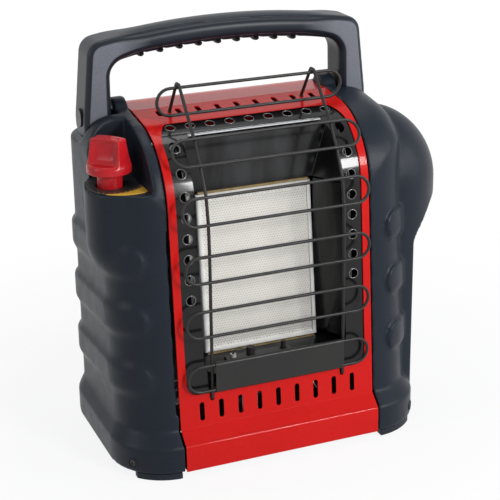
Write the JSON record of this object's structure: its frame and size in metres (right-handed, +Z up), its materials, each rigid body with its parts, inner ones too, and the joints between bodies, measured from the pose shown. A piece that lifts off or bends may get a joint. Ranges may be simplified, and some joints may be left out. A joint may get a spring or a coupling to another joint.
{
  "type": "portable propane heater",
  "caption": "Portable radiant propane heater: moulded housing with a red face, wire guard over a ceramic burner, hooded cylinder bay, control knob and fold-back carrying handle.",
  "frame": {"origin": "middle of the overall box in plan, on the floor under the rubber feet", "axes": "+Z up, the burner faces -Y, +X to the right seen from the front, towards the cylinder hood"},
  "size_m": [0.3445, 0.196, 0.381],
  "materials": {
    "shell_plastic": "moulded, dark slate with a soft sheen",
    "handle_plastic": "moulded, fine grain",
    "grip_rubber": "soft black",
    "red_enamel": "glossy enamel on sheet steel",
    "knob_plastic": "glossy",
    "dial_print": "yellow dial, bare of lettering",
    "guard_paint": "satin heat-proof paint",
    "bezel_steel": "glossy black enamel",
    "reflector_steel": "bright dark reflector sheet",
    "ceramic": "warm white fired tile with fine holes",
    "frame_ceramic": "white fired rim",
    "gasket_felt": "pressed mineral felt",
    "plated_steel": "zinc plated",
    "spring_steel": "bright wire",
    "brass": "turned",
    "tube_alloy": "drawn tube",
    "copper_lead": "drawn copper",
    "lead_sleeve": "white sleeve",
    "regulator_alloy": "die cast",
    "black_plastic": "moulded",
    "insulator": "glazed",
    "rubber": "black"
  },
  "bodies": {
    "housing": {"left_side_panel": "shell_plastic", "right_side_panel": "shell_plastic", "front_panel": "red_enamel", "back_panel": "red_enamel", "dial_plate": "dial_print", "guard_loops": "guard_paint", "guard_uprights": "guard_paint", "guard_plate": "guard_paint", "window_bezel": "bezel_steel", "hood_plate": "reflector_steel", "left_reflector": "reflector_steel", "right_reflector": "reflector_steel", "lower_tray": "reflector_steel", "burner_tile": "ceramic", "tile_frame": "frame_ceramic", "edge_gaskets": "gasket_felt", "tile_gasket": "gasket_felt", "base_plate": "plated_steel", "chassis": "plated_steel", "burner_box": "plated_steel", "box_standoffs": "plated_steel", "mixer_tube": "plated_steel", "jet_holder": "plated_steel", "pilot_bracket": "plated_steel", "valve_saddle": "plated_steel", "tip_switch_frame": "plated_steel", "tip_pin": "plated_steel", "case_screws": "plated_steel", "thermocouple": "plated_steel", "spark_electrode": "plated_steel", "valve_spring": "spring_steel", "burner_jet": "brass", "gas_valve": "brass", "pipe_nut": "brass", "pilot_burner": "brass", "burner_pipe": "tube_alloy", "gas_tube": "tube_alloy", "pilot_tube": "tube_alloy", "supply_elbow": "tube_alloy", "thermocouple_lead": "copper_lead", "igniter_lead": "lead_sleeve", "igniter": "black_plastic", "electrode_insulator": "insulator", "rubber_feet": "rubber"},
    "handle": {"handle_front": "handle_plastic", "handle_back": "handle_plastic", "handle_nubs": "grip_rubber", "handle_pins": "plated_steel"},
    "pusher": {"push_collar": "black_plastic"},
    "control_knob": {"knob": "knob_plastic", "valve_stem": "brass"},
    "plunger": {"igniter_plunger": "black_plastic"},
    "regulator": {"regulator_body": "regulator_alloy", "regulator_cover": "regulator_alloy", "diaphragm": "rubber", "regulator_spring": "spring_steel", "inlet_bush": "brass", "inlet_seal": "rubber"},
    "tip_weight": {"tip_pendulum": "plated_steel"}
  },
  "joints": [
    {"name": "handle_fold", "type": "hinge", "parent": "housing", "child": "handle", "pos_m": [-0.01925, 0.039, 0.301], "axis": [-1, 0, 0], "range_deg": [0, 90]},
    {"name": "knob_push", "type": "slide", "parent": "housing", "child": "pusher", "axis": [0, 0, -1], "range_m": [0, 0.006], "stiffness_N_per_m": 800, "springref_m": -0.004, "deforming": ["valve_spring"]},
    {"name": "knob_turn", "type": "hinge", "parent": "pusher", "child": "control_knob", "pos_m": [-0.15025, -0.027, 0.27], "axis": [0, 0, 1], "range_deg": [0, 210]},
    {"name": "igniter_push", "type": "slide", "parent": "housing", "child": "plunger", "axis": [0, 0, -1], "range_m": [0, 0.006]},
    {"name": "regulator_swivel", "type": "hinge", "parent": "housing", "child": "regulator", "pos_m": [0.11575, 0.018, 0.238], "axis": [0, -1, 0], "range_deg": [0, 45]},
    {"name": "tip_swing", "type": "hinge", "parent": "housing", "child": "tip_weight", "pos_m": [-0.07925, 0.051, 0.042], "axis": [1, 0, 0], "range_deg": [-20, 20]}
  ],
  "couplings": [
    {"joint": "igniter_push", "follows": "knob_push", "ratio": 1}
  ]
}
